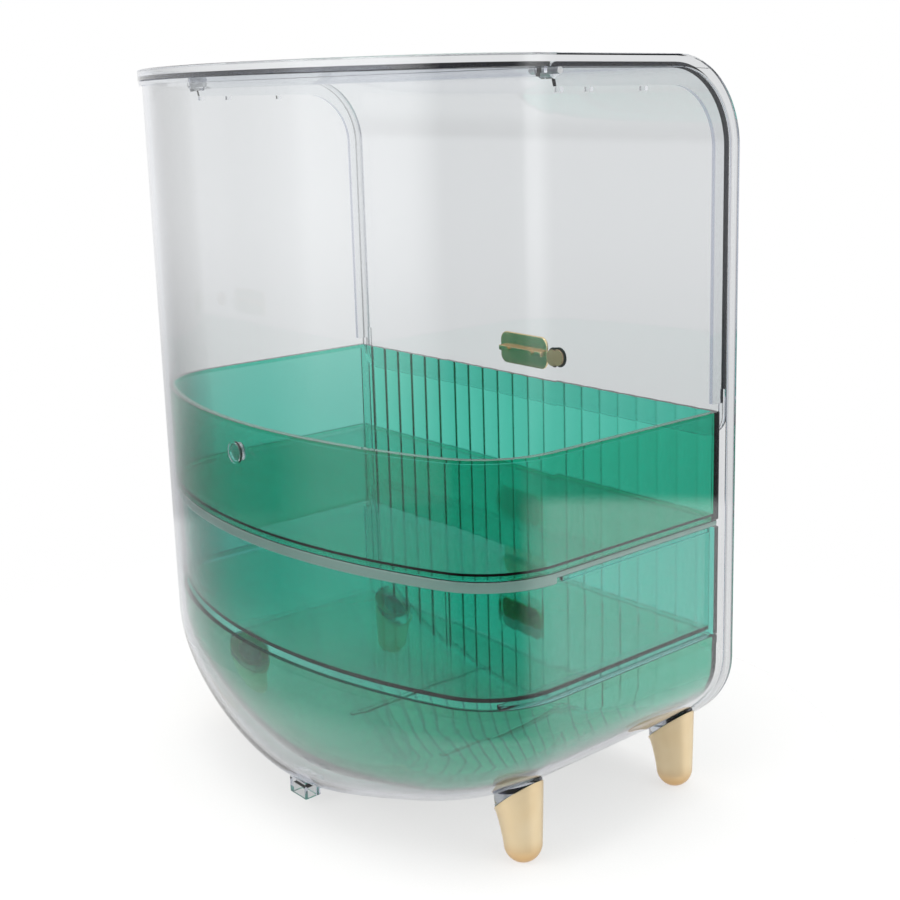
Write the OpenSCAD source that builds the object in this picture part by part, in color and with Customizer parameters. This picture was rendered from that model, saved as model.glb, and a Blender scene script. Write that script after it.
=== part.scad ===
// Dustproof makeup organizer: a clear bow-backed shell on four gold legs, with a flip-up
// lid over a green tray, and two green drawers that slide out of the front.
// Millimetres. +Z is up and -Y is the front. The origin is on the table, under the middle.

/* [Shell] */
// Outside width of the clear shell at its side walls
shell_w = 294; // [270:1:330]
// Depth from the plane of the front rim to the middle of the bowed back
shell_depth = 192; // [180:1:220]
// Wall thickness of the shell
shell_wall = 2; // [1.6:0.1:2.6]
// Radius of the two upright rear corners
corner_r = 47; // [36:1:56]
// How far the bowed back stands out behind the rear corners
bow_rise = 26; // [20:1:34]
// Height of the rounded bottom, up to where the walls are straight
bottom_rise = 67; // [58:1:80]
// Half width of the flat along the middle of the underside
keel_half = 5; // [3:0.5:12]
// How far the back pulls in towards the bottom
bow_inset = 41; // [25:1:50]
// Radius of the top front corner, seen from the side
front_r = 43; // [34:1:52]
// Distance from the front rim back to the drawer fronts
front_margin = 8; // [7:0.5:12]
// Height of the lip band along the rim
lip_h = 5.5; // [4:0.5:8]
// How far the lip stands out from the walls
lip_out = 2; // [1.5:0.1:3.5]

/* [Heights] */
// Clear height under the shell
base_gap = 9; // [7:0.5:16]
// Straight height of the bottom drawer above the rounded part
skirt_h = 12.6; // [9:0.1:20]
// Height of the middle drawer's bay
bay_h = 57.4; // [44:0.1:80]
// Height of the top tray
tray_h = 54; // [40:1:80]
// Height of the covered space above the top tray
dome_h = 168; // [120:1:200]

/* [Trays and drawers] */
// Wall thickness of the green trays
tray_wall = 2; // [1.6:0.1:2.6]
// Floor thickness of the green trays
tray_floor = 2.4; // [1.8:0.1:3.2]
// Height of the foot ring under the top tray
foot_h = 1.6; // [1:0.1:2.5]
// Gap between a tray and the shell's wall at each side
side_gap = 0.5; // [0.4:0.1:1]
// How much less a tray's back stands out than the shell's
rear_gap = 7; // [6:0.5:12]
// Gap between two fronts, one above the other
front_gap = 0.8; // [0.7:0.1:1.4]
// Gap that a moving part keeps over what it slides or rests on
run_gap = 0.3; // [0.2:0.05:0.5]
// Side gap of the middle drawer's body behind its front
body_gap = 3.5; // [2.8:0.1:6]
// Side gap of the bottom drawer's bowl
bowl_gap = 2; // [1.4:0.1:3]
// Gap under the bottom drawer's bowl
bowl_lift = 3; // [2:0.1:5]
// Height of the thick band along the bottom drawer's rim
band_h = 4; // [3:0.5:6]
// Thickness of the shelf under the top tray
shelf_t = 3; // [2:0.1:4]
// Thickness of the side rails between the drawers
rail_t = 2.2; // [1.6:0.1:3]
// Width of a side rail
rail_w = 11.5; // [9:0.5:14]

/* [Fluted fronts] */
// Nominal width of one flute
flute_pitch = 13; // [10:0.5:18]
// Depth of the flutes
flute_depth = 2; // [1.5:0.1:3.6]
// Wall behind the flutes
front_wall = 2.4; // [1.8:0.1:3]

/* [Lid] */
// Thickness of the lid
lid_t = 2.5; // [1.8:0.1:2.8]
// How deep the lid's surface lies inside the rim
lid_inset = 3.5; // [3:0.1:3.8]
// Gap between the lid and the side walls
lid_gap = 1; // [0.6:0.1:2]
// Depth of the flange along each side of the lid
flange_d = 10; // [9:0.5:12]
// Height of the bead along the lid's lower edge
bead_h = 3.4; // [2:0.2:5]
// How far the lid reaches down over the front of the top tray
lid_overlap = 14; // [8:1:24]
// Radius of the lid's two lower corners
lid_corner_r = 12; // [8:1:18]
// Distance from the hinge axis back to where the side walls begin to curve
hinge_set = 3; // [1:0.5:12]
// Radius of the rounded bar along the lid's hinge edge
barrel_r = 3.5; // [3:0.1:4.5]
// Radius of the steel hinge pins
pin_r = 1.5; // [1:0.1:1.8]
// Radial clearance of a hinge pin in the shell
pin_clear = 0.05; // [0.02:0.01:0.1]

/* [Pulls and stud] */
// Width of a gold pull's plate
pull_w = 40; // [30:1:48]
// Height of a gold pull's plate
pull_h = 18; // [12:1:24]
// Thickness of a pull's plate
pull_t = 1.8; // [1.2:0.1:2.6]
// How far a pull's plate stands off the front
pull_reach = 3.5; // [3:0.1:6]
// Height of the lid's pull and stud above the lid's lower edge
lid_pull_rise = 26; // [22:1:50]
// Distance from the middle drawer's top edge down to its pull
middle_pull_drop = 23; // [18:1:30]
// Distance from the bottom drawer's rim down to its pull
bottom_pull_drop = 32; // [20:1:40]
// Radius of the round gold stud beside the lid's pull
stud_r = 5.5; // [4:0.5:7]
// Distance of the stud from the middle of the lid
stud_x = 30; // [28:1:50]

/* [Legs] */
// Distance from the side of the shell in to the middle of a leg's tip
leg_inset = 26; // [23:1:45]
// Distance from the front rim's plane back to the front legs
leg_setback = 0.2; // [0:0.2:12]
// Distance from the front legs back to the rear legs
leg_span = 108; // [80:1:112]
// Radius of a leg at its top
leg_top_r = 11.8; // [10:0.1:13]
// Radius of a leg at its rounded tip
leg_tip_r = 9.3; // [8.2:0.1:9.8]
// Thickness of the clear socket ring above the gold
socket_h = 3; // [2:0.5:6]
// Radius of the spigot inside a leg
spigot_r = 6.5; // [5:0.1:7]

/* [Hidden] */
$fn = 64;
eps = 0.01;
far = 400;

clear_plastic = "#dfe3e4";
green_plastic = "#3fb592";
gold = "#d9bd86";
steel = "#b9bcc0";

// Side to side and front to back. Here y = 0 is the crest of the fluted fronts, and
// placed() then puts the origin under the middle of the object.
half_w = shell_w / 2;
inner_half = half_w - shell_wall;
corner_x = half_w - corner_r;
rim_y = -front_margin;
back_y = shell_depth - front_margin;
corner_y = back_y - bow_rise - corner_r;
tray_half = inner_half - side_gap;
tray_rise = bow_rise - rear_gap;
base_y = flute_depth;
wall_y = flute_depth + front_wall;
lid_y = rim_y + lid_inset;
lid_half = inner_half - lid_gap;
hinge_y = corner_y - hinge_set;
mid_y = (back_y + lip_out + lid_y - pull_reach - pull_t) / 2;

// Heights above the table, from the bottom up
spring_z = base_gap + bottom_rise;
bowl_top = spring_z + skirt_h;
rail_z = bowl_top + front_gap / 2;
body_z = rail_z + rail_t + run_gap;
shelf_z = bowl_top + bay_h;
tray_z = shelf_z + shelf_t;
rim_z = tray_z + tray_h;
top_z = rim_z + dome_h;
lid_z = top_z - lid_inset;
lid_low = rim_z - lid_overlap;
hinge_z = lid_z - barrel_r;

module placed() {
    translate([0, -mid_y, 0])
        children();
}

module both_sides() {
    children();
    mirror([1, 0, 0])
        children();
}

// A slab from y0 to y1 of a flat shape with X across and Z up
module across(y0, y1) {
    translate([0, y1, 0])
        rotate([90, 0, 0])
            linear_extrude(y1 - y0)
                children();
}

// A slab from x0 to x1 of a flat shape with Y across and Z up
module sideways(x0, x1) {
    translate([x0, 0, 0])
        rotate([90, 0, 90])
            linear_extrude(x1 - x0)
                children();
}

module slab(z0, z1) {
    translate([0, 0, z0])
        linear_extrude(z1 - z0)
            children();
}

// A rod along X from x0 to x1 on the hinge axis
module hinge_rod(x0, x1, r) {
    translate([x0, hinge_y, hinge_z])
        rotate([0, 90, 0])
            cylinder(h = x1 - x0, r = r);
}

/* ---------- bow-backed outlines and rounded bottoms ---------- */

// Outline from the right front corner round the back: straight sides up to cy, corner
// arcs of radius r, and a flatter arc between them that rises behind the corners.
corner_steps = 8;
bow_steps = 16;
function bow_points(half, y0, cy, r, rise) =
    let (a = half - r,
         big = (a * a + rise * rise + 2 * r * rise) / (2 * rise),
         by = cy + r + rise - big,
         turn = atan2(cy - by, a))
    concat([[half, y0]],
           [for (i = [0 : corner_steps])
               let (t = turn * i / corner_steps) [a + r * cos(t), cy + r * sin(t)]],
           [for (i = [1 : bow_steps - 1])
               let (t = turn + (180 - 2 * turn) * i / bow_steps)
               [big * cos(t), by + big * sin(t)]],
           [for (i = [corner_steps : -1 : 0])
               let (t = turn * i / corner_steps) [-a - r * cos(t), cy + r * sin(t)]],
           [[-half, y0]]);

module shell_plan(inset, y0) {
    polygon(bow_points(half_w - inset, y0, corner_y, corner_r - inset, bow_rise));
}

module tray_plan(half, y0) {
    polygon(bow_points(half, y0, corner_y, half - corner_x, tray_rise));
}

// The rounded bottom narrows along a quarter ellipse, from the full half width at the
// top of the round to the keel. phi goes from 0 at the top to 90 at the keel.
level_steps = 10;
function level_half(half, phi) = keel_half + (half - keel_half) * cos(phi);
function level_z(z0, round_h, phi) = z0 + round_h * (1 - sin(phi));
function underside(x, half, z0, round_h) =
    level_z(z0, round_h, acos((x - keel_half) / (half - keel_half)));

// Level outline of a rounded-bottom solid at phi. It starts at the front, set at y0.
function pod_ring(half, rise, z0, round_h, y0, phi) =
    let (full_r = half - corner_x,
         h = level_half(half, phi),
         r = min(full_r, h - 0.5),
         bow = min(rise * sqrt((h - r) / corner_x), 0.9 * (h - r)),
         tip = corner_y + full_r + rise - bow_inset * (1 - cos(phi)))
    [for (p = bow_points(h, y0, tip - bow - r, r, bow))
        [p[0], p[1], level_z(z0, round_h, phi)]];

// The solid itself: one ring at the rim, then rings from the top of the round down to
// the keel, with triangles between them
module pod(half, rise, z0, round_h, ztop, y0) {
    rim = [for (p = pod_ring(half, rise, z0, round_h, y0, 0)) [p[0], p[1], ztop]];
    rings = concat([rim],
                   [for (k = [0 : level_steps])
                       pod_ring(half, rise, z0, round_h, y0, 90 * k / level_steps)]);
    n = len(rim);
    sides = [for (k = [0 : len(rings) - 2], i = [0 : n - 1])
                let (a = k * n + i, b = k * n + (i + 1) % n)
                each [[a, a + n, b], [b, a + n, b + n]]];
    lid_face = [for (i = [n - 1 : -1 : 0]) i];
    keel_face = [for (i = [0 : n - 1]) (len(rings) - 1) * n + i];
    polyhedron([for (ring = rings) each ring], concat(sides, [lid_face, keel_face]));
}

// The same bottom as a flat shape, seen from the front
module round_front(half, z0, round_h, ztop) {
    side = [for (k = [0 : level_steps])
               let (phi = 90 * k / level_steps)
               [level_half(half, phi), level_z(z0, round_h, phi)]];
    other = [for (k = [level_steps : -1 : 0]) [-side[k][0], side[k][1]]];
    polygon(concat([[half, ztop]], side, other, [[-half, ztop]]));
}

// Side view from the front, set in from the rim, back to y1 and down to z0
module profile(inset, y1, z0) {
    r = front_r - inset;
    cy = rim_y + front_r;
    cz = top_z - front_r;
    translate([cy - r, z0])
        square([r, cz - z0]);
    translate([cy, cz])
        circle(r, $fn = 96);
    translate([cy, z0])
        square([y1 - cy, cz + r - z0]);
}

module profile_band(inset, depth, y1, z0) {
    difference() {
        profile(inset, y1, z0);
        profile(inset + depth, y1 + 1, z0 - 1);
    }
}

/* ---------- clear shell ---------- */

ledge_d = 2;
heel_half = 7;
heel_d = 9;
heel_y = back_y - 35;
heel_z = 4;
rib_x = 38;
rib_w = 3;
bumper_r = 4.5;
bumper_z = rim_z - 12;
pad_t = 1.2;
pin_seat = shell_wall + lip_out - 0.8;
deck_y = hinge_y + barrel_r + 0.8;

// Bands that stand out along the rim: round the top of the back, over the top front
// corners and under the front. They reach past the rim, where the profile trims them.
module shell_lip() {
    cy = rim_y + front_r;
    slab(top_z - lip_h, top_z + 1)
        intersection() {
            shell_plan(-lip_out, rim_y);
            translate([-far, cy])
                square(2 * far);
        }
    both_sides()
        sideways(inner_half, half_w + lip_out)
            profile_band(-1, lip_h + 1, corner_y, spring_z);
    across(rim_y - 1, rim_y + lip_h)
        round_front(half_w + lip_out, base_gap - lip_out, bottom_rise + lip_out, spring_z);
}

module shell_outside() {
    intersection() {
        union() {
            pod(half_w, bow_rise, base_gap, bottom_rise, top_z + 1, rim_y - 4);
            shell_lip();
        }
        sideways(-far, far)
            profile(0, far, 0);
    }
    translate([-heel_half, heel_y, heel_z])
        cube([2 * heel_half, heel_d, spring_z / 2]);
    both_sides() {
        hinge_rod(inner_half, half_w + lip_out, 3 * pin_r);
        at_legs() {
            socket();
            spigot();
        }
    }
}

// Thin strips and nubs on the inside of the walls
module shell_ledges() {
    slab(lid_z - lid_t - ledge_d, lid_z - lid_t)
        intersection() {
            difference() {
                shell_plan(shell_wall / 2, 0);
                shell_plan(shell_wall + 3, -1);
            }
            translate([-far, deck_y + 1])
                square(2 * far);
        }
    nub_z = lid_z - flange_d - run_gap - ledge_d;
    both_sides() {
        translate([inner_half - ledge_d, wall_y + 3, shelf_z - ledge_d])
            cube([ledge_d + shell_wall / 2, corner_y - wall_y - 6, ledge_d]);
        for (y = [2.5, 20, 54])
            translate([inner_half - 3, hinge_y - y - 1, nub_z])
                cube([3 + shell_wall / 2, 2, ledge_d]);
    }
    translate([0, back_y - shell_wall / 2, bumper_z])
        rotate([90, 0, 0])
            cylinder(h = shell_wall / 2 + pad_t, r = bumper_r + 1);
}

// Two ribs along the bottom, which the bottom drawer glides on
module glide_ribs() {
    low = underside(rib_x + rib_w, half_w, base_gap, bottom_rise) + shell_wall / 4;
    lift = shell_wall + bowl_lift;
    high = underside(rib_x, inner_half - bowl_gap, base_gap + lift, bottom_rise - lift);
    both_sides()
        translate([rib_x, rim_y + 2, low])
            cube([rib_w, corner_y - 10, high - run_gap - low]);
}

module shell() {
    color(clear_plastic, 0.35)
        placed()
            difference() {
                union() {
                    difference() {
                        shell_outside();
                        pod(inner_half, bow_rise, base_gap + shell_wall,
                            bottom_rise - shell_wall, top_z + 2, rim_y - 6);
                    }
                    shell_ledges();
                    glide_ribs();
                }
                both_sides()
                    hinge_rod(inner_half - 1, inner_half + pin_seat, pin_r + pin_clear);
                translate([2 - heel_half, heel_y + 2, heel_z - 1])
                    cube([2 * heel_half - 4, heel_d - 4, base_gap + 1.5 - heel_z]);
            }
}

// Fixed clear cover behind the hinge, with a short downturned front edge
module rear_deck() {
    edge_h = 6;
    color(clear_plastic, 0.35)
        placed() {
            slab(lid_z - lid_t, lid_z)
                intersection() {
                    shell_plan(shell_wall + 0.1, 0);
                    translate([-far, deck_y])
                        square(2 * far);
                }
            translate([5 - inner_half, deck_y, lid_z - edge_h])
                cube([2 * inner_half - 10, lid_t, edge_h - lid_t]);
        }
}

// Soft clear dot inside the back
module rear_bumper() {
    color(clear_plastic, 0.6)
        placed()
            translate([0, back_y - shell_wall - pad_t, bumper_z])
                rotate([90, 0, 0])
                    cylinder(h = 2.5, r = bumper_r);
}

/* ---------- shelf and rails ---------- */

module upper_shelf() {
    color(clear_plastic, 0.5)
        placed()
            slab(shelf_z, tray_z)
                tray_plan(inner_half - 0.1, base_y - 1);
}

// A rail lies along the wall from behind the middle drawer's front. Its inner edge
// runs straight on into the rear corner, where it thins out against the wall.
module right_side_rail() {
    slab(rail_z, rail_z + rail_t)
        intersection() {
            shell_plan(shell_wall, wall_y + 3);
            translate([inner_half - rail_w, 0])
                square([rail_w, corner_y + corner_r * 0.6]);
        }
}

module right_rail() {
    color(clear_plastic, 0.5)
        placed()
            right_side_rail();
}

module left_rail() {
    color(clear_plastic, 0.5)
        placed()
            mirror([1, 0, 0])
                right_side_rail();
}

/* ---------- green trays ---------- */

// Plan of a fluted front: a flat wall and a row of round ribs whose crests touch y = 0
module fluted_plan(half, back) {
    count = round(2 * half / flute_pitch);
    pitch = 2 * half / count;
    r = (pitch * pitch / 4 + flute_depth * flute_depth) / (2 * flute_depth);
    translate([-half, base_y - 0.05])
        square([2 * half, back - base_y + 0.05]);
    intersection() {
        translate([-half, 0])
            square([2 * half, base_y + eps]);
        for (i = [0 : count - 1])
            translate([-half + (i + 0.5) * pitch, r])
                circle(r);
    }
}

// Flat pad for a pull, and the two holes for its pegs
module pull_pad(z) {
    translate([-pull_w / 2 - 2, 0, z - pull_h / 2 - 2])
        cube([pull_w + 4, base_y + 1, pull_h + 4]);
}
module pull_holes(y, z, depth) {
    for (x = [-1, 1] * pull_w / 4)
        translate([x, y + depth, z])
            rotate([90, 0, 0])
                cylinder(h = depth + 1, r = peg_r, $fn = 32);
}

module top_tray() {
    floor_z = tray_z + foot_h + tray_floor;
    color(green_plastic, 0.6)
        placed()
            difference() {
                slab(tray_z, rim_z) {
                    tray_plan(tray_half, base_y);
                    fluted_plan(tray_half, wall_y);
                }
                slab(floor_z, rim_z + 1)
                    tray_plan(tray_half - tray_wall, wall_y);
                slab(tray_z - 1, tray_z + foot_h)
                    tray_plan(tray_half - 3 * tray_wall, wall_y + 3);
            }
}

middle_top = shelf_z - front_gap;
middle_pull_z = middle_top - middle_pull_drop;

module middle_drawer() {
    body_half = inner_half - body_gap;
    color(green_plastic, 0.6)
        placed()
            difference() {
                union() {
                    slab(body_z, middle_top)
                        tray_plan(body_half, base_y);
                    slab(bowl_top + front_gap, middle_top)
                        fluted_plan(tray_half, wall_y);
                    pull_pad(middle_pull_z);
                }
                slab(body_z + tray_floor, middle_top + 1)
                    tray_plan(body_half - tray_wall, wall_y);
                pull_holes(0, middle_pull_z, peg_l);
            }
}

bottom_pull_z = bowl_top - bottom_pull_drop;

module bottom_drawer() {
    half = inner_half - bowl_gap;
    z0 = base_gap + shell_wall + bowl_lift;
    round_h = spring_z - z0;
    color(green_plastic, 0.6)
        placed()
            difference() {
                union() {
                    pod(half, tray_rise, z0, round_h, bowl_top, base_y);
                    slab(bowl_top - band_h, bowl_top) {
                        tray_plan(tray_half, base_y);
                        fluted_plan(tray_half, wall_y);
                    }
                    intersection() {
                        slab(0, bowl_top - band_h)
                            fluted_plan(tray_half, wall_y);
                        across(-1, wall_y + 1)
                            round_front(half, z0, round_h, bowl_top);
                    }
                    pull_pad(bottom_pull_z);
                }
                pod(half - tray_wall, tray_rise, z0 + tray_floor, round_h - tray_floor,
                    bowl_top + 1, wall_y);
                pull_holes(0, bottom_pull_z, peg_l);
            }
}

/* ---------- lid and its hinge pins ---------- */

pin_grip = 12;

// Front view of the lid's panel from its lower edge up, with rounded lower corners
module panel_shape(inset) {
    r = lid_corner_r - inset;
    x = lid_half - lid_corner_r;
    z = lid_low + lid_corner_r;
    for (side = [-1, 1])
        translate([side * x, z])
            circle(r);
    translate([-x, lid_low + inset])
        square([2 * x, top_z - lid_low]);
    translate([inset - lid_half, z])
        square([2 * (lid_half - inset), top_z - z]);
}

lid_pull_z = lid_low + lid_pull_rise;

module lid() {
    flange_low = rim_z + 4;
    color(clear_plastic, 0.35)
        placed()
            difference() {
                union() {
                    intersection() {
                        sideways(-lid_half, lid_half)
                            profile_band(lid_inset, lid_t, hinge_y, lid_low);
                        across(rim_y, hinge_y + 1)
                            panel_shape(0);
                    }
                    both_sides()
                        sideways(lid_half - 2, lid_half)
                            profile_band(lid_inset, flange_d, hinge_y, flange_low);
                    across(lid_y - 1, lid_y + lid_t / 2)
                        difference() {
                            panel_shape(0);
                            panel_shape(bead_h);
                            translate([-far, lid_low + 2 * lid_corner_r])
                                square(2 * far);
                        }
                    hinge_rod(-lid_half, lid_half, barrel_r);
                }
                both_sides()
                    hinge_rod(lid_half - pin_grip, lid_half + 1, pin_r);
                pull_holes(lid_y, lid_pull_z, lid_t + 1);
                translate([-stud_x, lid_y + lid_t + 1, lid_pull_z])
                    rotate([90, 0, 0])
                        cylinder(h = lid_t + 3, r = peg_r, $fn = 32);
            }
}

module right_hinge_pin() {
    color(steel)
        placed()
            hinge_rod(lid_half - pin_grip, inner_half + pin_seat - 0.3, pin_r);
}

module left_hinge_pin() {
    color(steel)
        placed()
            mirror([1, 0, 0])
                hinge_rod(lid_half - pin_grip, inner_half + pin_seat - 0.3, pin_r);
}

/* ---------- gold pulls and stud ---------- */

peg_r = 1.4;
peg_l = 4;

// A plate with rounded corners on a web, seen from the side as a T. Two pegs hold it.
module pull(y, z, peg) {
    r = 5;
    web_h = 3;
    translate([0, y, z]) {
        across(-pull_reach - pull_t, -pull_reach) {
            for (x = [-1, 1] * (pull_w / 2 - r), h = [-1, 1] * (pull_h / 2 - r))
                translate([x, h])
                    circle(r);
            square([pull_w, pull_h - 2 * r], center = true);
            square([pull_w - 2 * r, pull_h], center = true);
        }
        translate([2 - pull_w / 2, -pull_reach, -web_h / 2])
            cube([pull_w - 4, pull_reach, web_h]);
        for (x = [-1, 1] * pull_w / 4)
            translate([x, peg, 0])
                rotate([90, 0, 0])
                    cylinder(h = peg + web_h / 2, r = peg_r, $fn = 32);
    }
}

module lid_pull() {
    color(gold)
        placed()
            pull(lid_y, lid_pull_z, lid_t);
}

module middle_drawer_pull() {
    color(gold)
        placed()
            pull(0, middle_pull_z, peg_l);
}

module bottom_drawer_pull() {
    color(gold)
        placed()
            pull(0, bottom_pull_z, peg_l);
}

washer_t = 0.8;

// Domed stud beside the lid's pull, with its stem through the lid
module lid_stud() {
    cap_h = 2.4;
    ball_r = (stud_r * stud_r + cap_h * cap_h) / (2 * cap_h);
    color(gold)
        placed()
            translate([-stud_x, lid_y, lid_pull_z]) {
                intersection() {
                    translate([0, ball_r - cap_h, 0])
                        sphere(ball_r);
                    rotate([90, 0, 0])
                        cylinder(h = cap_h + 1, r = stud_r);
                }
                translate([0, lid_t + washer_t, 0])
                    rotate([90, 0, 0])
                        cylinder(h = lid_t + washer_t + 1, r = peg_r, $fn = 32);
            }
}

module lid_stud_washer() {
    color(gold)
        placed()
            translate([-stud_x, lid_y + lid_t + washer_t, lid_pull_z])
                rotate([90, 0, 0])
                    difference() {
                        cylinder(h = washer_t, r = stud_r - 1);
                        translate([0, 0, -1])
                            cylinder(h = washer_t + 2, r = peg_r, $fn = 32);
                    }
}

/* ---------- legs ---------- */

leg_x = half_w - leg_inset;
leg_front_y = rim_y + leg_top_r + leg_setback;
leg_axis_x = leg_x - leg_top_r + leg_tip_r;
leg_z = underside(leg_axis_x, half_w, base_gap, bottom_rise) - socket_h;
lean = atan2(leg_top_r - leg_tip_r, leg_z - leg_tip_r);
slant = atan2(underside(leg_axis_x + leg_top_r, half_w, base_gap, bottom_rise)
              - underside(leg_axis_x - leg_top_r, half_w, base_gap, bottom_rise),
              2 * leg_top_r);
spigot_low = leg_tip_r + 3;
leg_flare = (leg_top_r - leg_tip_r) / (leg_z - leg_tip_r);

module at_legs() {
    for (y = [leg_front_y, leg_front_y + leg_span])
        translate([0, y, 0])
            children();
}

// The leg's own axis: from the middle of its rounded tip up, leaning inwards so that
// the outer side is upright
module leg_axis() {
    translate([leg_x, 0, leg_tip_r])
        rotate([0, -lean, 0])
            children();
}

// Everything above the slanted joint between a socket and its leg
module above_joint() {
    translate([leg_axis_x, 0, leg_z])
        rotate([0, -slant, 0])
            translate([-30, -30, 0])
                cube(60);
}

module socket() {
    intersection() {
        leg_axis()
            cylinder(h = spring_z, r = leg_top_r);
        above_joint();
    }
}

// The peg that the hollow leg is pushed on, from inside the shell's wall down
module spigot() {
    leg_axis()
        translate([0, 0, spigot_low - leg_tip_r])
            cylinder(h = leg_z - spigot_low + socket_h / 2, r = spigot_r);
}

module leg() {
    flat = 0.95;
    difference() {
        union() {
            leg_axis()
                cylinder(h = leg_z, r1 = leg_tip_r, r2 = leg_tip_r + leg_flare * leg_z);
            translate([leg_x, 0, leg_tip_r * flat])
                sphere(leg_tip_r);
        }
        above_joint();
        leg_axis()
            translate([0, 0, spigot_low - leg_tip_r - 0.5])
                cylinder(h = spring_z, r = spigot_r + 0.1);
        translate([leg_x - 20, -20, -40])
            cube(40);
    }
}

module front_right_leg() {
    color(gold)
        placed()
            translate([0, leg_front_y, 0])
                leg();
}

module front_left_leg() {
    color(gold)
        placed()
            mirror([1, 0, 0])
                translate([0, leg_front_y, 0])
                    leg();
}

module rear_right_leg() {
    color(gold)
        placed()
            translate([0, leg_front_y + leg_span, 0])
                leg();
}

module rear_left_leg() {
    color(gold)
        placed()
            mirror([1, 0, 0])
                translate([0, leg_front_y + leg_span, 0])
                    leg();
}

shell();
rear_deck();
rear_bumper();
upper_shelf();
left_rail();
right_rail();
top_tray();
lid();
left_hinge_pin();
right_hinge_pin();
lid_pull();
lid_stud();
lid_stud_washer();
middle_drawer();
middle_drawer_pull();
bottom_drawer();
bottom_drawer_pull();
front_left_leg();
front_right_leg();
rear_left_leg();
rear_right_leg();
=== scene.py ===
import math
import bmesh
import bpy
from mathutils import Matrix, Vector


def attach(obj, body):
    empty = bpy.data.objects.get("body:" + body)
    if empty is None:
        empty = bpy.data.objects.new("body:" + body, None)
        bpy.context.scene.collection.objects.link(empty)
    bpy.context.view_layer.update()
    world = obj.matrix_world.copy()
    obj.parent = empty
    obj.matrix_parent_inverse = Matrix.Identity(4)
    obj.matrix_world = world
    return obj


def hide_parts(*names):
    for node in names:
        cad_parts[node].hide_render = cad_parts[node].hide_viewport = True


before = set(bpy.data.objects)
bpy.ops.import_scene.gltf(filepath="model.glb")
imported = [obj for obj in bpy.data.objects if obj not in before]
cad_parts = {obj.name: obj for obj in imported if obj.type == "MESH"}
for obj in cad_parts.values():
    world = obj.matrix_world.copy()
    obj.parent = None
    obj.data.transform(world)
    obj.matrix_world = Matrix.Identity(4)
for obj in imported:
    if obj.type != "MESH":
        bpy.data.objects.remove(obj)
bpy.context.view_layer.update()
scene = bpy.context.scene
print("frame loaded")

# The organizer's shell, in mm: x across, y back from the crests of the fluted fronts, z up from the table.
shellSize = dict(
    halfWidth=147.0, wall=2.0, cornerRadius=47.0, bowRise=26.0, roundHeight=67.0,
    trayRise=19.0, keelHalf=5.0, bowInset=41.0, frontRadius=43.0, rimY=-8.0, cornerY=111.0, backY=184.0,
    lipHeight=5.5, lipOut=2.0, lipSoftness=0.9, baseZ=9.0, springZ=76.0, topZ=371.0, middleY=88.1,
)
cornerX = shellSize["halfWidth"] - shellSize["cornerRadius"]
innerHalf = shellSize["halfWidth"] - shellSize["wall"]
smooth = dict(cornerSteps=20, bowSteps=44, levelSteps=34, sharpAngle=32.0)
# how far round the bottom each level lies, from the upright side to the keel
levelAngles = [math.pi / 2 * i / smooth["levelSteps"] for i in range(smooth["levelSteps"] + 1)]


def toLinear(hexColour):
    channels = [int(hexColour[i:i + 2], 16) / 255 for i in (1, 3, 5)]
    return [c / 12.92 if c <= 0.04045 else ((c + 0.055) / 1.055) ** 2.4 for c in channels] + [1.0]


def addNode(tree, kind, given=None):  # what is given is a link, a setting of the node or a value of an input
    node = tree.nodes.new(kind)
    for key, value in (given or {}).items():
        if isinstance(value, bpy.types.NodeSocket):
            tree.links.new(value, node.inputs[key])
        elif isinstance(key, str) and hasattr(node, key):
            setattr(node, key, value)
        else:
            node.inputs[key].default_value = value
    return node.outputs


# ---- outlines and rings

def bowOutline(half, frontY, cornerY, radius, rise, straightSteps=6):
    flat = half - radius
    big = (flat * flat + rise * rise + 2 * radius * rise) / (2 * rise)
    bigY = cornerY + radius + rise - big
    turn = math.atan2(cornerY - bigY, flat)
    nCorner, nBow = smooth["cornerSteps"], smooth["bowSteps"]
    right = [(half, frontY + (cornerY - frontY) * i / straightSteps) for i in range(straightSteps)]
    for i in range(nCorner + 1):
        t = turn * i / nCorner
        right.append((flat + radius * math.cos(t), cornerY + radius * math.sin(t)))
    for i in range(1, nBow // 2):
        t = turn + (math.pi - 2 * turn) * i / nBow
        right.append((big * math.cos(t), bigY + big * math.sin(t)))
    return right + [(0.0, bigY + big)] + [(-x, y) for x, y in reversed(right)]


def wallOutline(inset, frontY, behind=0.0, straightSteps=6):
    s = shellSize
    return bowOutline(s["halfWidth"] - inset, frontY, s["cornerY"] + behind, s["cornerRadius"] - inset,
                      s["bowRise"], straightSteps)


def trayOutline(half, frontY):
    return bowOutline(half, frontY, shellSize["cornerY"], half - cornerX, shellSize["trayRise"])


def levelHalf(half, phi):
    keel = shellSize["keelHalf"]
    return keel + (half - keel) * math.cos(phi)


def levelZ(lowZ, rise, phi):
    return lowZ + rise * (1 - math.sin(phi))


def podOutline(half, rise, frontY, phi, straightSteps=6):
    fullRadius = half - cornerX
    h = levelHalf(half, phi)
    radius = min(fullRadius, h - 0.5)
    bow = min(rise * math.sqrt((h - radius) / cornerX), 0.9 * (h - radius))
    tip = shellSize["cornerY"] + fullRadius + rise - shellSize["bowInset"] * (1 - math.cos(phi))
    return bowOutline(h, frontY, tip - bow - radius, radius, bow, straightSteps)


def underside(x, half, lowZ, rise):
    keel = shellSize["keelHalf"]
    phi = math.acos(min(1.0, (x - keel) / (half - keel)))
    return levelZ(lowZ, rise, phi)


# ---- meshes in mm, made into finished pieces in metres

def meshObject(name, verts, faces):
    mesh = bpy.data.meshes.new(name)
    mesh.from_pydata([tuple(v) for v in verts], [], faces)
    piece = bpy.data.objects.new(name, mesh)
    scene.collection.objects.link(piece)
    return piece


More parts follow.
